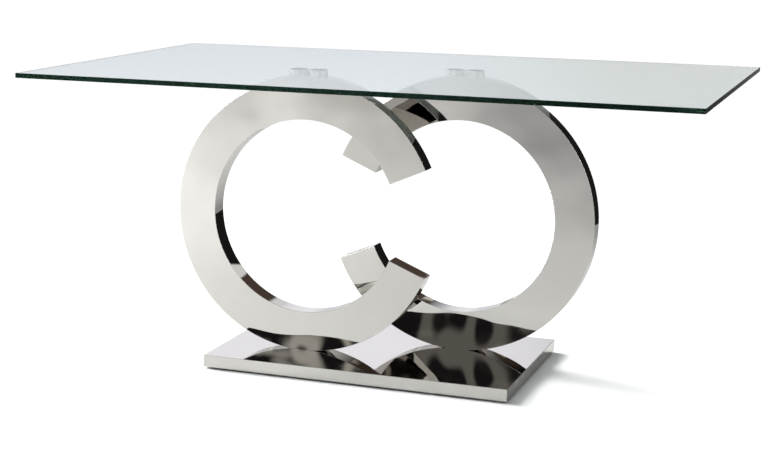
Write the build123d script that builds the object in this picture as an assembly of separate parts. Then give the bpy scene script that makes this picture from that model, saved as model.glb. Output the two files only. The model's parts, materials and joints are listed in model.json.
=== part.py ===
from build123d import *
from math import cos, radians, sin
import os

# Glass-topped pedestal table. Two open rings of polished sheet steel stand one in front of
# the other on a flat base and carry a clear glass top on four short discs.
# Millimetres. +Z is up, +X is the table's length, +Y runs from the front to the back.
# The origin is on the floor, under the middle of the glass top.

# ---- driving dimensions ----

top_length = 1646
top_width = 1000
top_thickness = 12
top_corner_radius = 3
top_arris = 0.8
top_offset_x = 43            # the top sits this far to the right of the pedestal's middle

ring_outer_radius = 350
ring_inner_radius = 249
ring_depth = 52
ring_upper_end_angle = 23.5  # the ring is left open this far above its middle
ring_lower_end_angle = 22.5  # and this far below it
ring_centre_x = 182          # each ring's centre, out from the pedestal's middle
ring_centre_y = 80
ring_seat_cut = 1            # ground off the bottom of the rim, so that it seats flat
ring_sheet = 2.5
ring_edge_radius = 0.6

base_length = 794
base_width = 500
base_height = 30
base_fold_radius = 0.8
tray_sheet = 1.5
ballast_thickness = 8
core_thickness = 18
bottom_sheet = 1

glide_gap = 5                # clear height under the base, where the glides show
glide_diameter = 30
glide_inset = 45

disc_diameter = 48
disc_pitch = 52              # between the two discs on one ring
disc_rise = 13.7             # from the top of the ring to the bond film
disc_edge = 0.6
bond_thickness = 0.3
bond_diameter = 44

# ---- sizes that follow from them ----

pedestal_x = -top_offset_x
base_top = glide_gap + base_height
ring_centre_z = base_top + ring_outer_radius - ring_seat_cut
ring_top = ring_centre_z + ring_outer_radius
disc_top = ring_top + disc_rise
glass_underside = disc_top + bond_thickness
table_height = glass_underside + top_thickness

core_outer_radius = ring_outer_radius - ring_sheet
core_inner_radius = ring_inner_radius + ring_sheet
core_depth = ring_depth - 2 * ring_sheet
band_middle = (ring_outer_radius + ring_inner_radius) / 2
band_reach = ring_outer_radius - ring_inner_radius + 40   # longer than the band is wide

tray_inner_length = base_length - 2 * tray_sheet
tray_inner_width = base_width - 2 * tray_sheet
ballast_top = base_top - tray_sheet
ballast_bottom = ballast_top - ballast_thickness
core_bottom = ballast_bottom - core_thickness
cover_bottom = core_bottom - bottom_sheet

disc_sides = {"left": -disc_pitch / 2, "right": disc_pitch / 2}

# ---- fasteners and the blocks that hold them ----

stud_diameter = 8
stud_in_disc = 9
stud_in_block = 16
stud_clearance = 9

bolt_diameter = 10
bolt_clearance = 11
bolt_engagement = 20
bolt_head_diameter = 17
bolt_head_height = 6
bolt_socket_across = 8
bolt_socket_depth = 4
bolt_pitch_x = 44
bolt_pitch_y = 28
washer_diameter = 21
washer_thickness = 2
access_hole_diameter = 26

head_block_height = 24
foot_block_height = 26
block_length = 104
rib_angles = [60, 120, 180, 240, 300]   # from the mouth, round the band

screw_shank_diameter = 4
screw_head_diameter = 8.5
screw_head_height = 2.4
glide_screw_reach = 16
glide_screw_recess = 0.8
cover_screw_reach = 12
cover_screw_inset = 18
screw_cross_width = 0.9
screw_cross_length = 4.4
screw_cross_depth = 1.2

os.makedirs("parts", exist_ok=True)


def save(name, shape):
    """Write one node. A group of equal pieces is written as separate solids."""
    shape.label = name
    export_step(shape, f"parts/{name}.step")


def group(pieces):
    return Compound(children=list(pieces))


def upright(diameter, bottom, top, x=0, y=0):
    """A vertical cylinder from one height to another."""
    middle = Pos(x, y, (bottom + top) / 2)
    return middle * Cylinder(diameter / 2, top - bottom)


def slab(length, width, bottom, top):
    return Pos(0, 0, (bottom + top) / 2) * Box(length, width, top - bottom)


# ---- ring pieces, made about the ring's own centre with its mouth towards +X ----
# The ring's axis is Y. Angles run from the mouth, +X, up towards +Z.

def tube(outer, inner, depth, y=0):
    """A full hoop about the Y axis."""
    hoop = Cylinder(outer, depth) - Cylinder(inner, depth)
    return Pos(0, y, 0) * Rot(90, 0, 0) * hoop


def mouth_wedge():
    """The wedge of space that the mouth takes out of a hoop."""
    reach = 2 * ring_outer_radius
    corners = [(0, 0)]
    for angle in (ring_upper_end_angle, -ring_lower_end_angle):
        corners.append((reach * cos(radians(angle)), reach * sin(radians(angle))))
    outline = Polyline(corners, close=True)
    prism = extrude(make_face(outline), ring_depth, both=True)
    return Rot(90, 0, 0) * prism


def seated(shape):
    """Cut off what lies under the flat seat at the bottom of the ring."""
    cut_height = 20
    below = Pos(0, 0, -ring_outer_radius + ring_seat_cut - cut_height / 2)
    return shape - below * Box(ring_outer_radius, 2 * ring_depth, cut_height)


def rim_block(height, angle):
    """A block that lies against the inside of the outer rim, centred on an angle."""
    hoop = tube(core_outer_radius, core_outer_radius - height, core_depth)
    place = Rot(0, -angle, 0) * Pos(band_middle, 0, 0)
    return hoop & place * Box(band_reach, core_depth, block_length)


def radial_plate(angle, offset):
    """A plate across the hollow band on the radius at an angle, moved sideways by an offset."""
    hoop = tube(core_outer_radius, core_inner_radius, core_depth)
    place = Rot(0, -angle, 0) * Pos(band_middle, 0, offset)
    return hoop & place * Box(band_reach, core_depth, ring_sheet)


def ring_pieces():
    """Every welded piece of one ring, by name."""
    mouth = mouth_wedge()
    pieces = {}

    plate_y = (ring_depth - ring_sheet) / 2
    for name, side in (("face_plate", -1), ("back_plate", 1)):
        flat = tube(ring_outer_radius, ring_inner_radius, ring_sheet, side * plate_y) - mouth
        outside = flat.faces().sort_by(Axis.Y)[0 if side < 0 else -1]
        pieces[name] = seated(fillet(outside.edges(), ring_edge_radius))

    outer_rim = tube(ring_outer_radius, core_outer_radius, core_depth) - mouth
    for x in disc_sides.values():
        outer_rim -= upright(stud_clearance, 0, 2 * ring_outer_radius, x)
    for x, y in foot_bolt_places():
        outer_rim -= upright(bolt_clearance, -2 * ring_outer_radius, 0, x, y)
    pieces["outer_rim"] = seated(outer_rim)
    pieces["inner_rim"] = tube(core_inner_radius, ring_inner_radius, core_depth) - mouth

    pieces["upper_end_cap"] = radial_plate(ring_upper_end_angle, ring_sheet / 2)
    pieces["lower_end_cap"] = radial_plate(-ring_lower_end_angle, -ring_sheet / 2)

    head = rim_block(head_block_height, 90)
    for x in disc_sides.values():
        head -= upright(stud_diameter, stud_foot(), ring_outer_radius, x)
    pieces["head_block"] = head

    foot = rim_block(foot_block_height, 270)
    for x, y in foot_bolt_places():
        foot -= upright(bolt_diameter, -ring_outer_radius, bolt_tip(), x, y)
    pieces["foot_block"] = foot

    pieces["ribs"] = group(radial_plate(angle, 0) for angle in rib_angles)
    return pieces


def foot_bolt_places():
    """The four bolt centres under one ring, about the ring's centre."""
    return [(x * bolt_pitch_x / 2, y * bolt_pitch_y / 2) for x in (-1, 1) for y in (-1, 1)]


def bolt_tip():
    """Height of a base bolt's tip, from the ring's centre."""
    return -ring_outer_radius + ring_seat_cut + bolt_engagement


def stud_foot():
    """Height of a disc stud's lower end, from the ring's centre."""
    return core_outer_radius - stud_in_block


def support_disc(x):
    """One turned disc, its underside cut to the ring's curve, about the ring's centre."""
    top = ring_outer_radius + disc_rise
    disc = upright(disc_diameter, ring_outer_radius - disc_diameter / 2, top, x)
    disc = fillet(disc.edges().sort_by(Axis.Z)[-1:], disc_edge)
    disc -= Rot(90, 0, 0) * Cylinder(ring_outer_radius, 2 * ring_depth)
    return disc - upright(stud_diameter, 0, top - disc_rise + stud_in_disc, x)


def disc_stud(x):
    return upright(stud_diameter, stud_foot(), ring_outer_radius + stud_in_disc, x)


# ---- screws and bolts, head down, made with the top of the head at height 0 ----

def countersunk_screw(reach):
    """A countersunk screw that points up: its flat head faces down at height 0."""
    head = Cone(screw_head_diameter / 2, screw_shank_diameter / 2, screw_head_height)
    screw = Pos(0, 0, screw_head_height / 2) * head
    screw += upright(screw_shank_diameter, screw_head_height, reach)
    for turn in (0, 90):
        slot = Box(screw_cross_length, screw_cross_width, 2 * screw_cross_depth)
        screw -= Rot(0, 0, turn) * slot
    return screw


def countersink(reach):
    """The hole that takes a countersunk screw, cut through to the face below it."""
    head = Cone(screw_head_diameter / 2, screw_shank_diameter / 2, screw_head_height)
    hole = Pos(0, 0, screw_head_height / 2) * head
    hole += upright(screw_shank_diameter, 0, reach)
    return hole + upright(screw_head_diameter, -4 * screw_head_height, 0)


def base_bolt():
    """A socket head bolt that points up, with the underside of its head at height 0."""
    shank_top = ring_centre_z + bolt_tip() - (ballast_bottom - washer_thickness)
    bolt = upright(bolt_diameter, 0, shank_top)
    bolt += upright(bolt_head_diameter, -bolt_head_height, 0)
    socket = extrude(RegularPolygon(bolt_socket_across / 2, 6, major_radius=False),
                     bolt_socket_depth)
    return bolt - Pos(0, 0, -bolt_head_height) * socket


# ---- places in the table's frame ----

# each ring's centre, and the way its mouth is turned from +X
ring_places = {
    "front": (pedestal_x - ring_centre_x, -ring_centre_y, 0),
    "rear": (pedestal_x + ring_centre_x, ring_centre_y, 180),
}


def base_bolt_places():
    places = []
    for ring_x, ring_y, turn in ring_places.values():
        for x, y in foot_bolt_places():
            places.append((ring_x + x, ring_y + y))
    return places


def base_spots(inset, along, across):
    """Evenly spaced spots round the base's underside, an inset in from its edge."""
    reach_x = base_length / 2 - inset
    reach_y = base_width / 2 - inset
    spots = []
    for i in range(along):
        for j in range(across):
            if i in (0, along - 1) or j in (0, across - 1):
                x = -reach_x + 2 * reach_x * i / (along - 1)
                y = -reach_y + 2 * reach_y * j / (across - 1)
                spots.append((pedestal_x + x, y))
    return spots


glide_spots = base_spots(glide_inset, 3, 2)
cover_screw_spots = base_spots(cover_screw_inset, 4, 3)


# ---- the glass top ----

def glass_top():
    sheet = slab(top_length, top_width, glass_underside, table_height)
    sheet = fillet(sheet.edges().filter_by(Axis.Z), top_corner_radius)
    rims = sheet.faces().filter_by(Axis.Z).edges()
    return chamfer(rims, top_arris)


# ---- the base ----

def base_cover_tray():
    """A folded tray, open below, polished outside."""
    shell = slab(base_length, base_width, glide_gap, base_top)
    outside = shell.edges().filter_by(Axis.Z) + shell.faces().sort_by(Axis.Z)[-1].edges()
    shell = fillet(outside, base_fold_radius)
    shell -= slab(tray_inner_length, tray_inner_width, glide_gap, ballast_top)
    tray = Pos(pedestal_x, 0, 0) * shell
    for x, y in base_bolt_places():
        tray -= upright(bolt_clearance, 0, 2 * base_top, x, y)
    return tray


def base_ballast_plate():
    plate = slab(tray_inner_length, tray_inner_width, ballast_bottom, ballast_top)
    plate = Pos(pedestal_x, 0, 0) * plate
    for x, y in base_bolt_places():
        plate -= upright(bolt_clearance, 0, 2 * base_top, x, y)
    return plate


def base_core_board():
    board = slab(tray_inner_length, tray_inner_width, core_bottom, ballast_bottom)
    board = Pos(pedestal_x, 0, 0) * board
    for x, y in base_bolt_places():
        board -= upright(access_hole_diameter, 0, base_top, x, y)
    for x, y in glide_spots:
        board -= Pos(x, y, glide_screw_recess) * countersink(glide_screw_reach)
    for x, y in cover_screw_spots:
        board -= Pos(x, y, cover_bottom) * countersink(cover_screw_reach)
    return board


def base_bottom_cover():
    cover = slab(tray_inner_length, tray_inner_width, cover_bottom, core_bottom)
    cover = Pos(pedestal_x, 0, 0) * cover
    for x, y in glide_spots:
        cover -= Pos(x, y, glide_screw_recess) * countersink(glide_screw_reach)
    for x, y in cover_screw_spots:
        cover -= Pos(x, y, cover_bottom) * countersink(cover_screw_reach)
    return cover


def base_glide(x, y):
    glide = upright(glide_diameter, 0, cover_bottom, x, y)
    glide = chamfer(glide.edges().sort_by(Axis.Z)[:1], 0.5)
    return glide - Pos(x, y, glide_screw_recess) * countersink(glide_screw_reach)


def base_washer(x, y):
    top = ballast_bottom
    washer = upright(washer_diameter, top - washer_thickness, top, x, y)
    return washer - upright(bolt_clearance, 0, base_top, x, y)


# ---- write every node ----

save("glass_top", glass_top())

welded = ring_pieces()

for ring, (ring_x, ring_y, turn) in ring_places.items():
    place = Pos(ring_x, ring_y, ring_centre_z)
    for name, piece in welded.items():
        save(f"{ring}_ring_{name}", place * Rot(0, 0, turn) * piece)
    for side, x in disc_sides.items():
        save(f"{ring}_ring_{side}_disc", place * support_disc(x))
        film = upright(bond_diameter, disc_top, glass_underside, ring_x + x, ring_y)
        save(f"{ring}_ring_{side}_bond_film", film)
    studs = [place * disc_stud(x) for x in disc_sides.values()]
    save(f"{ring}_ring_disc_studs", group(studs))

save("base_cover_tray", base_cover_tray())
save("base_ballast_plate", base_ballast_plate())
save("base_core_board", base_core_board())
save("base_bottom_cover", base_bottom_cover())
save("base_bolts", group(
    Pos(x, y, ballast_bottom - washer_thickness) * base_bolt() for x, y in base_bolt_places()))
save("base_bolt_washers", group(base_washer(x, y) for x, y in base_bolt_places()))
save("base_glides", group(base_glide(x, y) for x, y in glide_spots))
save("base_glide_screws", group(
    Pos(x, y, glide_screw_recess) * countersunk_screw(glide_screw_reach)
    for x, y in glide_spots))
save("base_cover_screws", group(
    Pos(x, y, cover_bottom) * countersunk_screw(cover_screw_reach)
    for x, y in cover_screw_spots))

print("table height", table_height)
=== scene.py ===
# %% [markdown]
# # A glass table on two open steel rings
#
# The packed model is the fixed frame of this scene: every sheet, block and screw is already
# in its place, in metres, with +Z up. This script adds what the frame can't hold: the mirror
# polish of the steel, the colour of thick glass, the light of a studio, and a camera.
# The size of the bare frame is kept.

# %% Load the frame
import json
from math import cos, pi, radians, sin

import bmesh
import bpy
from mathutils import Matrix, Vector


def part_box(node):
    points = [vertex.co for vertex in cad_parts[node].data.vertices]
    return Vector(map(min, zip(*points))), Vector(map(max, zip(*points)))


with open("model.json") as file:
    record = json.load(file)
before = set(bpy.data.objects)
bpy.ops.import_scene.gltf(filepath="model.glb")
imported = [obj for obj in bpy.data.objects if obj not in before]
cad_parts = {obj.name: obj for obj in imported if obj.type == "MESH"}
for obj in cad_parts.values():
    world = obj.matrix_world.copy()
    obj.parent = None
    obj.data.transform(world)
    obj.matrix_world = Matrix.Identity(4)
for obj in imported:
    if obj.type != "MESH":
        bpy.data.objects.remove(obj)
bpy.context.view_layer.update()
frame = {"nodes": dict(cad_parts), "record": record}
nodes = frame["nodes"]

# %% [markdown]
# ## Where things are
#
# Nothing below types in a place that the frame already knows. The camera stands at a
# distance from the base, and the ground edge of the glass follows the size of the top, so
# both are read from the nodes. The top's middle is the origin, so half its length and half
# its width say where its edges are.

# %% Read the main places
glass_low, glass_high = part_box("glass_top")
glass_half_length = (glass_high.x - glass_low.x) / 2
glass_half_width = (glass_high.y - glass_low.y) / 2
base_low, base_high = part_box("base_cover_tray")
base_middle = (base_low + base_high) / 2
print("base middle:", base_middle, "glass half sizes:", glass_half_length, glass_half_width)

# %% [markdown]
# ## Writing shaders as sums
#
# A node tree is a formula drawn as boxes. Boxes are slow to place by hand and slow to read
# in code, so one small class stands for an output socket and lets Python's own operators
# make the Math nodes. The reflected forms are there so that `1 - mask` works too.

# %% A socket that can be added and multiplied
class Wire:
    """An output socket of a node, usable in arithmetic."""

    def __init__(self, tree, socket):
        self.tree = tree
        self.socket = socket

    def maths(self, operation, *values):
        """A Math node with this operation, fed with values or other sockets."""
        node = self.tree.add("ShaderNodeMath", {"operation": operation}, dict(enumerate(values)))
        return node.out()

    def __add__(self, other):
        return self.maths("ADD", self, other)

    def __sub__(self, other):
        return self.maths("SUBTRACT", self, other)

    def __rsub__(self, other):
        return self.maths("SUBTRACT", other, self)

    def __mul__(self, other):
        return self.maths("MULTIPLY", self, other)

    def __abs__(self):
        return self.maths("ABSOLUTE", self)

    def bigger(self, other):
        """The larger of this and the other."""
        return self.maths("MAXIMUM", self, other)

    __radd__ = __add__
    __rmul__ = __mul__


print("a socket knows", [name for name in vars(Wire) if name.startswith("__r")])

# %% [markdown]
# ## One method for every node
#
# All nodes come from one method, `add`. It takes the node's type, then its settings, then
# what goes into its sockets. The settings come first because they can change which sockets
# the node has. Three shapes of formula come back again and again in the finishes, so they
# have methods of their own: a smooth step, a mix of two colours, and a cloudy noise.

# %% A tree that nodes are added to
# A Mix node has sockets for each kind of data, and these are the places of those for colours.
mix_share = 0
mix_first = 6
mix_second = 7
mix_result = 2


def opaque(colour):
    """A socket as it is, or a colour of three numbers with the fourth that sockets want."""
    return colour if isinstance(colour, Wire) else (*colour, 1.0)


class Node:
    """A node that was added to a tree."""

    def __init__(self, tree, node):
        self.tree = tree
        self.node = node

    def out(self, name=0):
        return Wire(self.tree, self.node.outputs[name])


class Tree:
    """The node tree of a material or of the world, emptied and ready to be filled."""

    def __init__(self, owner):
        owner.use_nodes = True
        self.nodes = owner.node_tree.nodes
        self.links = owner.node_tree.links
        self.nodes.clear()

    def add(self, kind, settings=None, inputs=None):
        """A new node of this kind, with its settings made and its sockets filled or linked."""
        node = self.nodes.new(kind)
        for name, value in (settings or {}).items():
            setattr(node, name, value)
        for name, value in (inputs or {}).items():
            if isinstance(value, Wire):
                self.links.new(value.socket, node.inputs[name])
            else:
                node.inputs[name].default_value = value
        return Node(self, node)

    def smooth(self, value, start, end):
        """0 before start, 1 after end, and an even swell between them."""
        settings = {"interpolation_type": "SMOOTHSTEP"}
        inputs = {"Value": value, "From Min": start, "From Max": end}
        return self.add("ShaderNodeMapRange", settings, inputs).out()

    def mix(self, share, first, second):
        """The first colour where share is 0, and the second where it is 1."""
        inputs = {mix_share: share, mix_first: opaque(first), mix_second: opaque(second)}
        return self.add("ShaderNodeMix", {"data_type": "RGBA"}, inputs).out(mix_result)

    def noise(self, where, scale, detail=2.0, roughness=0.5):
        """A cloudy pattern from about 0 to 1, with about scale clouds to the metre."""
        inputs = {"Vector": where, "Scale": scale, "Detail": detail, "Roughness": roughness}
        return self.add("ShaderNodeTexNoise", None, inputs).out()

    def object_place(self):
        """Where a point of the surface is on the object, in metres."""
        return self.add("ShaderNodeTexCoord").out("Object")


print("a tree can make", [name for name in vars(Tree) if not name.startswith("_")])

# %% [markdown]
# ## Starting and ending a material
#
# Each finish starts with an empty tree and ends with an output node. Two helpers do that, so
# that what stands between them is only the finish itself.

# %% Start and end a material
def material(name):
    """A new material, and its empty tree."""
    made = bpy.data.materials.new(name)
    return made, Tree(made)


def finish_material(tree, shader, volume=None):
    """Joins the shader, and the volume if there is one, to the material's output."""
    inputs = {"Surface": shader.out()}
    if volume:
        inputs["Volume"] = volume.out()
    tree.add("ShaderNodeOutputMaterial", None, inputs)


finishes = {}
print("finishes so far:", len(finishes))

# %% [markdown]
# ## Mirror-polished steel
#
# Polished stainless sheet shows almost nothing of itself: it shows the room. What gives it
# away as sheet is that it is never quite flat. Rolling, welding and buffing leave broad
# buckles and smaller waves, which bend the edges of whatever is mirrored, and the last pass
# of the wheel leaves very fine hairlines. All of these could be modelled, but they are only
# a few millimetres deep over the length of a hand or more, and don't change an outline, so
# they are a bump. The colour and the roughness follow one smeared pattern, because hands
# and cloths don't wipe a surface evenly.

# %% Steel
bright_steel = (0.642, 0.624, 0.592)
smeared_steel = (0.603, 0.585, 0.553)
clean_roughness = 0.018
smear_roughness = 0.05
buckle_share = 3.0  # how deep the broad buckles are, in wave depths
wave_share = 0.75
hairline_depth = 0.000001
hairline_stretch = (40, 40, 900)  # long along the floor and close together upwards


def polished_steel(name, wave_depth):
    """Mirror polish over sheet whose unevenness grows with wave_depth, in metres."""
    made, tree = material(name)
    where = tree.object_place()
    buckles = tree.noise(where, scale=3.4, detail=0.3, roughness=0.3)
    waves = tree.noise(where, scale=7.5, detail=0.6, roughness=0.35)
    stretched = tree.add("ShaderNodeMapping", None, {"Vector": where, "Scale": hairline_stretch})
    hairlines = tree.noise(stretched.out(), scale=2.2, detail=3.0, roughness=0.6)
    smears = tree.noise(where, scale=16.0, detail=4.0, roughness=0.65)
    unevenness = waves * wave_share + buckles * buckle_share
    height = unevenness * wave_depth + hairlines * hairline_depth
    bump = tree.add("ShaderNodeBump", None, {"Height": height, "Distance": 1.0})
    shader = tree.add("ShaderNodeBsdfPrincipled", None, {
        "Base Color": tree.mix(smears, bright_steel, smeared_steel),
        "Metallic": 1.0,
        "Roughness": clean_roughness + tree.smooth(smears, start=0.45, end=0.8) * smear_roughness,
        "Normal": bump.out(),
    })
    finish_material(tree, shader)
    return made


finishes["polished_steel"] = polished_steel("polished_steel", wave_depth=0.0032)
print("steel nodes:", len(finishes["polished_steel"].node_tree.nodes))

# %% [markdown]
# ## Thick float glass
#
# Across its 12 mm the top is nearly clear. Seen through an edge, light has come a metre or
# more through the sheet, and the iron in the glass has taken the red out of it, so the edge
# is a very dark green. A painted edge would be wrong from every other angle. A volume that
# absorbs red fastest gives both looks at once.
#
# Light that bounces many times inside the sheet is given up by the renderer, and the edge
# would lose its green with it. So the surface's reflection is tinted green too. The tint
# only shows where the surface is looked at squarely, as the edge is: at a grazing angle,
# as across the top, the reflection stays white. The ground edge is less smooth than the
# faces, and the faces have faint smears.

# %% Glass
glass_colour = (0.90, 0.905, 0.91, 1.0)
glass_index = 1.52
edge_green = (0.33, 0.85, 0.58, 1.0)
arris_width = 0.0012
arris_blur = 0.0002
ground_roughness = 0.04
smear_on_glass = 0.012
iron_green = (0.0, 0.60, 0.50, 1.0)
iron_density = 9.0


def clear_glass():
    """Clear float glass, smooth on its faces and ground on its edges."""
    made, tree = material("clear_glass")
    where = tree.object_place()
    place = tree.add("ShaderNodeSeparateXYZ", None, {"Vector": where})
    past_length = abs(place.out("X")) - (glass_half_length - arris_width)
    past_width = abs(place.out("Y")) - (glass_half_width - arris_width)
    ground = tree.smooth(past_length.bigger(past_width), -arris_blur, arris_blur)
    smears = tree.smooth(tree.noise(where, scale=3.0, detail=5.0, roughness=0.7), start=0.55, end=0.9)
    shader = tree.add("ShaderNodeBsdfPrincipled", None, {
        "Base Color": glass_colour,
        "Roughness": ground * ground_roughness + smears * smear_on_glass,
        "IOR": glass_index,
        "Specular Tint": edge_green,
        "Transmission Weight": 1.0,
    })
    volume = tree.add("ShaderNodeVolumeAbsorption", None, {
        "Color": iron_green,
        "Density": iron_density,
    })
    finish_material(tree, shader, volume)
    return made


finishes["clear_glass"] = clear_glass()
print("ground edge:", arris_width * 1000, "mm wide, glass index", glass_index)

# %% [markdown]
# ## The clear bond
#
# A film of clear adhesive holds each steel disc to the glass. It is thin and hardly seen,
# but it isn't quite as clear as glass: it has set with a faint cloudiness. A second glass
# with a little uneven roughness is enough for it.

# %% Bond
bond_colour = (0.93, 0.95, 0.95, 1.0)
bond_index = 1.49
bond_roughness = 0.05
bond_cloudiness = 0.1


def clear_bond():
    """Set clear adhesive, faintly cloudy."""
    made, tree = material("clear_bond")
    clouds = tree.noise(tree.object_place(), scale=120.0)
    shader = tree.add("ShaderNodeBsdfPrincipled", None, {
        "Base Color": bond_colour,
        "Roughness": bond_roughness + clouds * bond_cloudiness,
        "IOR": bond_index,
        "Transmission Weight": 1.0,
    })
    finish_material(tree, shader)
    return made


finishes["clear_bond"] = clear_bond()
print("finishes so far:", sorted(finishes))

# %% [markdown]
# ## The hidden pieces
#
# The blocks, the ballast plate, the board and the screws can't be seen on a standing table,
# but they are there to be found when it is taken apart, so each has a finish of its own:
# bare steel with mill scale, fibreboard, powder coat, zinc plate and nylon. They are all
# one idea, a fine speck over slow clouds, so one function makes all five.

# %% A finish of specks over clouds
cloud_size = 0.12  # clouds to the metre, as a share of the specks to the metre
cloud_share = 0.6


def speckled_finish(name, dark, light, metal, smoothest, roughest, grain, depth):
    """A finish with about grain specks to the metre, which stand about depth proud."""
    made, tree = material(name)
    where = tree.object_place()
    clouds = tree.noise(where, grain * cloud_size, detail=4.0, roughness=0.6)
    specks = tree.noise(where, grain, detail=5.0, roughness=0.7)
    bump = tree.add("ShaderNodeBump", None, {"Height": specks, "Distance": depth})
    shader = tree.add("ShaderNodeBsdfPrincipled", None, {
        "Base Color": tree.mix(clouds * cloud_share + specks * (1 - cloud_share), dark, light),
        "Metallic": metal,
        "Roughness": smoothest + tree.smooth(specks, start=0.3, end=0.7) * (roughest - smoothest),
        "Normal": bump.out(),
    })
    finish_material(tree, shader)
    return made


print("clouds are", round(1 / cloud_size, 1), "times as wide as specks")

# %% The five hidden finishes
finishes["mild_steel"] = speckled_finish(
    "mild_steel", dark=(0.10, 0.10, 0.11), light=(0.26, 0.25, 0.25),
    metal=0.9, smoothest=0.35, roughest=0.6, grain=900, depth=0.0001)
finishes["core_board"] = speckled_finish(
    "core_board", dark=(0.36, 0.25, 0.15), light=(0.62, 0.47, 0.31),
    metal=0.0, smoothest=0.7, roughest=0.95, grain=1400, depth=0.0003)
finishes["painted_sheet"] = speckled_finish(
    "painted_sheet", dark=(0.012, 0.012, 0.013), light=(0.035, 0.035, 0.037),
    metal=0.0, smoothest=0.4, roughest=0.6, grain=2200, depth=0.0002)
finishes["zinc_fastener"] = speckled_finish(
    "zinc_fastener", dark=(0.50, 0.51, 0.50), light=(0.74, 0.74, 0.70),
    metal=1.0, smoothest=0.22, roughest=0.4, grain=1600, depth=0.00004)
finishes["nylon_glide"] = speckled_finish(
    "nylon_glide", dark=(0.012, 0.012, 0.012), light=(0.04, 0.04, 0.042),
    metal=0.0, smoothest=0.35, roughest=0.55, grain=1500, depth=0.0001)
print("finishes:", sorted(finishes))

# %% [markdown]
# ## Dress the frame
#
# The record says which finish each node has, so the nodes are dressed from it in one loop.
# The base tray is backed by a board and the discs are solid, so neither is as wavy as the
# rings' thin sheet. They have the same steel with shallower waves.

# %% Give each node its finish
for entry in frame["record"]["subparts"]:
    node = nodes[entry["node"]]
    node.data.materials.clear()
    node.data.materials.append(finishes[entry["material_slot"]])

# %% The stiffer pieces of polished steel
stiff_steel = polished_steel("polished_steel_stiff", wave_depth=0.0007)
stiff_nodes = ["base_cover_tray"]
for ring in ("front_ring", "rear_ring"):
    stiff_nodes += [ring + "_left_disc", ring + "_right_disc"]
for name in stiff_nodes:
    nodes[name].data.materials[0] = stiff_steel
print("stiffer steel on", stiff_nodes)

# %% [markdown]
# ## The shadow of the glass
#
# A clear sheet hardly shades what stands under it. The renderer doesn't follow the light
# that is bent on its way through glass, and shades everything below as under a solid board,
# so the glass is told to cast no shadow.

# %% Let the light through
nodes["glass_top"].visible_shadow = False
print("the glass casts a shadow:", nodes["glass_top"].visible_shadow)

# %% [markdown]
# ## Mirrored light and other light
#
# A plain white studio is right for the eye but wrong for a mirror, which would be white all
# over and look like plaster. So the room is lit twice: once for rays that come from a
# mirror, and once for all others. A Light Path node tells them apart. It counts the mirrors
# and the dull surfaces that a ray has met, and a ray that has met a dull surface is only
# gathering light for it, so it doesn't count as a mirrored one.

# %% Which rays come from a mirror
def mirror_rays(tree):
    """1 or more for a ray that has met a mirror and no dull surface, or else 0 or less."""
    path = tree.add("ShaderNodeLightPath")
    return path.out("Glossy Depth") * (1 - path.out("Diffuse Depth"))


print("mirror rays can be told from the others")

# %% [markdown]
# ## The floor
#
# The largest thing that a table's legs mirror is the floor. A studio floor is plain white
# to the eye, but it isn't evenly lit: here it is brightest to the left, fades to grey on
# the right, and fades in front and behind. The steel shows that as a slow gradient across
# each ring. That uneven light is painted into the floor's colour, and only mirror rays see
# it, so that the floor itself still looks plain.
# The floor is one flat square, stretched and moved into place.

# %% Lay the floor
floor_low = Vector((-8.0, -6.9))
floor_high = Vector((8.0, 2.2))


def flat_sheet(name, low, high):
    """A flat rectangle on the ground that faces up."""
    shape = bmesh.new()
    bmesh.ops.create_grid(shape, x_segments=1, y_segments=1, size=0.5)
    size = high - low
    bmesh.ops.scale(shape, vec=(size.x, size.y, 1), verts=shape.verts)
    middle = (low + high) / 2
    bmesh.ops.translate(shape, vec=(middle.x, middle.y, 0), verts=shape.verts)
    mesh = bpy.data.meshes.new(name)
    shape.to_mesh(mesh)
    shape.free()
    made = bpy.data.objects.new(name, mesh)
    bpy.context.scene.collection.objects.link(made)
    return made


floor = flat_sheet("floor", floor_low, floor_high)
print("floor:", [round(side, 2) for side in floor.dimensions], "metres")

# %% [markdown]
# ## The floor's painted light
#
# The mirrored floor is painted light: its colour for mirror rays is three things added up,
# a dim grey everywhere, the light that comes from the left, and a band of light along the
# table. How far a spot is from the table is measured to the front, and more than twice as
# fast to the back, because the floor ends much sooner there. The light from the left reaches
# a little less far to the right with every metre away from the table. The paint has no
# gloss, so that the floor mirrors nothing.

# %% Paint the floor, with painted light for mirror rays
plain_floor = (0.86, 0.86, 0.86)
# painted light: the floor's colour where mirror rays see it most brightly lit
painted_floor_light = (1.09, 1.095, 1.095)
dim_share = 0.22
left_share = 0.55
band_share = 0.28
faster_to_the_back = 2.2
lean_per_metre = 0.13
far_loss = 0.55

floor_paint, tree = material("floor_white")
place = tree.add("ShaderNodeSeparateXYZ", None, {"Vector": tree.object_place()})
away = (place.out("Y") * -1).bigger(place.out("Y") * faster_to_the_back)
leftwards = place.out("X") * -1 - away * lean_per_metre
nearness = 1 - tree.smooth(away, start=3.4, end=6.9) * far_loss
from_the_left = tree.smooth(leftwards, start=-0.35, end=1.95) * nearness
band = 1 - tree.smooth(away, start=1.3, end=4.2)
# painted light: how lit each spot of the floor looks in a mirror, painted into its colour
lit = dim_share + from_the_left * left_share + band * band_share
mirrored_painted_light = tree.mix(lit, (0, 0, 0), painted_floor_light)
finish_material(tree, tree.add("ShaderNodeBsdfPrincipled", None, {
    "Base Color": tree.mix(mirror_rays(tree), plain_floor, mirrored_painted_light),
    "Roughness": 1.0,
    "Specular IOR Level": 0.0,
}))
floor.data.materials.append(floor_paint)
print("the mirrored floor goes from", dim_share, "to", dim_share + left_share + band_share)

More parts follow.
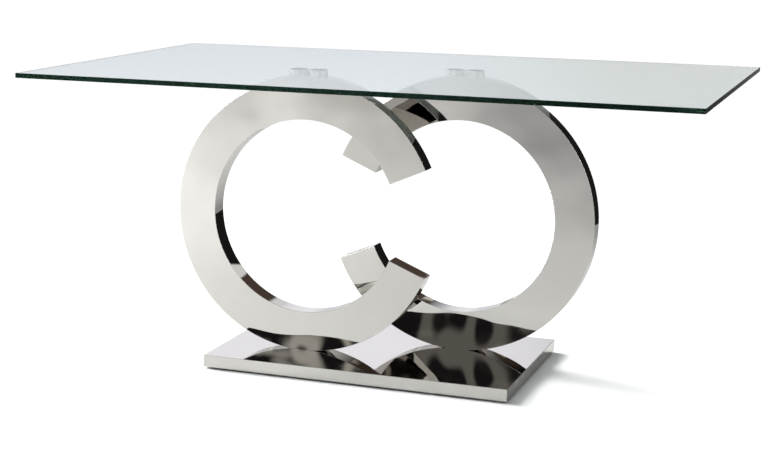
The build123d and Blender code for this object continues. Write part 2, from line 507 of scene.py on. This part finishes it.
# %% [markdown]
# ## The studio
#
# Polished metal is lit by what it mirrors, so the room matters more than the lamps. It
# could be built from panels standing round the table, but they would be in the way of the
# camera and of the light. So it is drawn on the world: a mid-grey room in which cards with
# soft edges are hung one over the other. A card is given by its compass directions, from
# behind the table (0) round by the right, and by its heights above the floor's horizon, all
# in degrees. The camera stands at about 160, so the rings' front faces mirror what lies
# round -160, and the top of the base mirrors what lies round -20.

# %% Directions in the room
world = bpy.data.worlds.new("studio")
bpy.context.scene.world = world
studio = Tree(world)
looking = studio.add("ShaderNodeTexCoord").out("Generated")
part = studio.add("ShaderNodeSeparateXYZ", None, {"Vector": looking})
degrees_in_radian = 180 / pi
azimuth = part.out("X").maths("ARCTAN2", part.out("X"), part.out("Y")) * degrees_in_radian
height = part.out("Z").maths("ARCSINE", part.out("Z")) * degrees_in_radian
print("one radian is", round(degrees_in_radian, 2), "degrees")

# %% A card with soft edges
def between(value, low, high, edge):
    """1 from low to high and 0 outside, changing over a width of edge on each side."""
    risen = studio.smooth(value, low - edge, low + edge)
    fallen = studio.smooth(value, high - edge, high + edge)
    return risen * (1 - fallen)


def card(room, across, up, soft, colour):
    """The room with one more card hung in it, over those that were there."""
    share = between(azimuth, *across, soft[0]) * between(height, *up, soft[1])
    return studio.mix(share, room, colour)


all_round = (-400, 400)
room = (0.52, 0.52, 0.54)
print("the bare room is grey:", room)

# %% [markdown]
# ## Ceiling and horizon
#
# A large white ceiling lights everything that faces up. Below the horizon, past the edge of
# the floor, the room goes on as a duller floor. Two patches of it in front of the table
# are matched to the floor's own front edge, so that the edge doesn't show in the rings.

# %% Hang the ceiling and carry on the floor
room = card(room, across=all_round, up=(56, 120), soft=(1, 9), colour=(1.13, 1.13, 1.15))
room = card(room, across=all_round, up=(-90, 3), soft=(1, 2), colour=(0.55, 0.54, 0.53))
room = card(room, across=(-182, -165), up=(-90, 3), soft=(3, 2), colour=(0.36, 0.35, 0.35))
room = card(room, across=(-162.5, -95), up=(-90, 3), soft=(5.5, 2), colour=(0.75, 0.74, 0.73))
print("studio nodes with the ceiling:", len(studio.nodes))

# %% [markdown]
# ## The dark side
#
# Chrome looks like chrome because something near it is black. A black curtain stands behind
# the table and a little to the right, and the rings' rims mirror it. The room in front of
# the table is unlit too. The base throws that darkness up onto the feet of the rings.

# %% Hang the black curtains
unlit = (0.014, 0.013, 0.014)
room = card(room, across=(-12, 42), up=(-90, 33), soft=(3, 3), colour=(0.013, 0.012, 0.012))
room = card(room, across=(-181, -147), up=(4, 30), soft=(2, 2), colour=unlit)
room = card(room, across=(150, 182), up=(4, 30), soft=(2, 2), colour=(0.017, 0.014, 0.014))
print("studio nodes with the curtains:", len(studio.nodes))

# %% [markdown]
# ## The light wall
#
# The wall to the left and behind is white, and it makes the top of the base a pale and
# slightly violet white. It is dimmer near the floor. Round its right-hand end, beside the
# curtain, a few small light and dark patches give the rims the broken streaks that a real
# room's doors, stands and lamps leave in them.

# %% Hang the white wall and the small patches
room = card(room, across=(-110, -9), up=(-90, 27), soft=(10, 2), colour=(1.09, 1.09, 1.17))
room = card(room, across=(-110, -10), up=(-90, 8), soft=(8, 5), colour=(0.79, 0.79, 0.84))
room = card(room, across=(-14, 4), up=(-90, 9), soft=(5, 4), colour=(0.72, 0.715, 0.705))
room = card(room, across=(-14, -6.5), up=(23.5, 28), soft=(1.5, 0.8), colour=(0.89, 0.89, 0.89))
room = card(room, across=(-5.5, 14), up=(20.3, 28), soft=(1.0, 0.8), colour=(0.083, 0.059, 0.048))
room = card(room, across=(-5.0, -1.5), up=(21.6, 22.6), soft=(0.5, 0.3), colour=(0.71, 0.69, 0.65))
room = card(room, across=(14.5, 22), up=(17, 22), soft=(0.8, 0.5), colour=(0.89, 0.89, 0.88))
print("studio nodes with the wall:", len(studio.nodes))

# %% [markdown]
# ## Soft boxes
#
# Narrow, bright strips are the lamps that a polished thing shows as highlights. One stands
# in front on the left, one on the right, and one lies low in front.

# %% Hang the soft boxes
strip_light = (4.17, 4.17, 4.17)
room = card(room, across=(-128, -118), up=(5, 50), soft=(2, 2), colour=(1.55, 1.55, 1.55))
room = card(room, across=(106, 116), up=(-20, 45), soft=(2, 2), colour=strip_light)
room = card(room, across=(-176, -172), up=(-20, 3), soft=(1, 2), colour=strip_light)
print("studio nodes with the soft boxes:", len(studio.nodes))

# %% [markdown]
# ## Shapes in the dark
#
# The dark in front isn't empty: grey things stand in it, with black gaps between them. The
# waves of the sheet pull them into the blobs that the feet of the rings and the base show.

# %% Stand a few grey shapes in the dark
room = card(room, across=(-159.0, -140), up=(7, 26), soft=(0.4, 2), colour=(0.59, 0.58, 0.55))
room = card(room, across=(-157.5, -155.5), up=(5, 17.5), soft=(0.5, 0.6), colour=unlit)
room = card(room, across=(-180, -162.6), up=(9, 24), soft=(0.4, 1.5), colour=(0.19, 0.18, 0.17))
room = card(room, across=(-166.0, -164.6), up=(3, 30), soft=(0.4, 1), colour=unlit)
room = card(room, across=(-170, -162), up=(17.5, 22), soft=(0.8, 0.8), colour=(0.40, 0.39, 0.37))
print("studio nodes with the shapes:", len(studio.nodes))

# %% [markdown]
# ## Three views of one world
#
# The world is seen in three ways. Mirrors see the room. The camera sees a plain white
# backdrop, straight or through the glass. And dull surfaces, such as the floor, are lit by
# a much dimmer white, because a full one would wash out the shadow under the base.

# %% Choose what each ray sees
backdrop_strength = 1.05
fill_strength = 0.35


def light(colour, strength):
    """Light of one colour, or of a colour that a socket gives."""
    return studio.add("ShaderNodeBackground", None, {"Color": opaque(colour), "Strength": strength})


def choose(share, first, second):
    """The first light where share is 0, and the second where it is 1 or more."""
    return studio.add("ShaderNodeMixShader", None, {0: share, 1: first.out(), 2: second.out()})


white = (1, 1, 1)
dull_rays = studio.add("ShaderNodeLightPath").out("Diffuse Depth")
around = choose(dull_rays, light(white, backdrop_strength), light(white, fill_strength))
seen = choose(mirror_rays(studio), around, light(room, 1.0))
studio.add("ShaderNodeOutputWorld", None, {"Surface": seen.out()})
print("backdrop", backdrop_strength, "fill", fill_strength, "studio nodes:", len(studio.nodes))

# %% [markdown]
# ## One lamp
#
# The world alone would leave the table floating. A sun that stands low on the left, and a
# little behind, casts a shadow to the right of the base. It is as wide as a large lamp near
# by, so the shadow is sharp at the base and soft further off. Mirrors don't see it, because
# they would show it as a round white spot.

# %% Hang the lamp
sun_tilt = radians(-12)
sun_lean = radians(-59)
lamp = bpy.data.lights.new("soft_sun", "SUN")
lamp.energy = 7.0
lamp.angle = radians(40)
sun = bpy.data.objects.new("soft_sun", lamp)
sun.rotation_euler = (sun_tilt, sun_lean, 0)
sun.visible_glossy = False
bpy.context.scene.collection.objects.link(sun)
print("sun:", lamp.energy, "watts to the square metre")

# %% [markdown]
# ## The camera
#
# The camera stands in front of the table and to the right, 0.4 m above the glass and a
# little over 4 m off, with a lens of about 76 mm on a frame 36 mm wide. That keeps the
# rings nearly round and still lets the near end of the top come forward. Its three angles
# are turned into a matrix by hand, because the roll is about the line of sight. A small
# lens shift places the table in the frame without turning the camera any further.

# %% Stand the camera up
stand_off = Vector((1.3251, -3.9107, 1.1561))  # from the middle of the base's underside
yaw = radians(20.54)
pitch = radians(9.13)
roll = radians(0.61)

look = Vector((-sin(yaw) * cos(pitch), cos(yaw) * cos(pitch), -sin(pitch)))
level = Vector((cos(yaw), sin(yaw), 0))
above = level.cross(look)
right = cos(roll) * level + sin(roll) * above
up = -sin(roll) * level + cos(roll) * above
turn = Matrix((right, up, -look)).transposed().to_4x4()
stand = Vector((base_middle.x, base_middle.y, base_low.z)) + stand_off
print("the camera stands at", [round(v, 3) for v in stand])

# %% Give it a lens
camera_data = bpy.data.cameras.new("camera")
camera_data.sensor_width = 36
camera_data.lens = 75.9275
camera_data.shift_x = 0.0684
camera_data.shift_y = -0.0700
camera_data.clip_end = 200
camera = bpy.data.objects.new("camera", camera_data)
camera.matrix_world = Matrix.Translation(stand) @ turn
bpy.context.scene.collection.objects.link(camera)
bpy.context.scene.camera = camera
print("lens:", round(camera_data.lens, 2), "mm")

# %% [markdown]
# ## White stays white
#
# Blender's usual view transform greys a white studio, to leave room for highlights. The
# plain one keeps the backdrop white and the steel's colours as they were set.

# %% View transform
bpy.context.scene.view_settings.view_transform = "Standard"
print("view transform:", bpy.context.scene.view_settings.view_transform)

# %% [markdown]
# ## Sizes
#
# Looks must not change a measure.

# %% Sizes
print("the table is finished")
